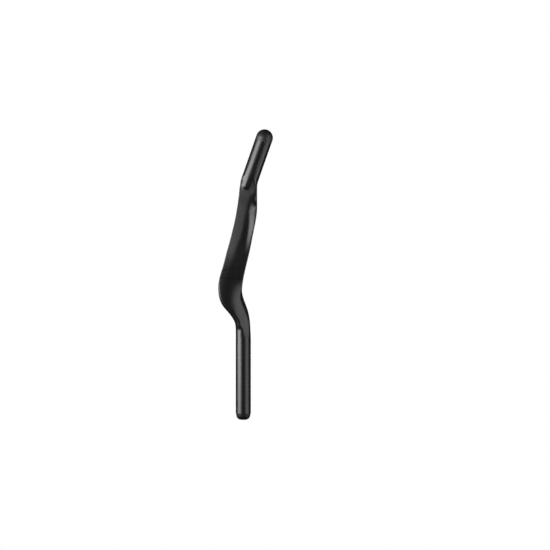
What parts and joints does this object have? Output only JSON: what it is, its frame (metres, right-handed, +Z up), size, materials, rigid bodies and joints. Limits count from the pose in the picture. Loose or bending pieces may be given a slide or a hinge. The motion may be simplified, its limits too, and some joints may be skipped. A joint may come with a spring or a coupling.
{
  "type": "aero handlebar extension",
  "caption": "Carbon aero handlebar extension for the left hand: round clamp tube, S-bend to a flat wrist and palm rest, angled round grip, plug caps.",
  "frame": {"origin": "on the clamp tube's axis at its rear mouth", "axes": "+Y forward along the clamp tube, towards the grip; +X to the inner side, towards the other hand; +Z up, as the palm rests on it"},
  "size_m": [0.0799, 0.4242, 0.0528],
  "materials": {
    "carbon": "satin moulded carbon",
    "cap": "moulded plug, fine satin"
  },
  "bodies": {
    "root": {"extension_tube": "carbon", "front_end_cap": "cap", "rear_end_cap": "cap"}
  },
  "joints": []
}
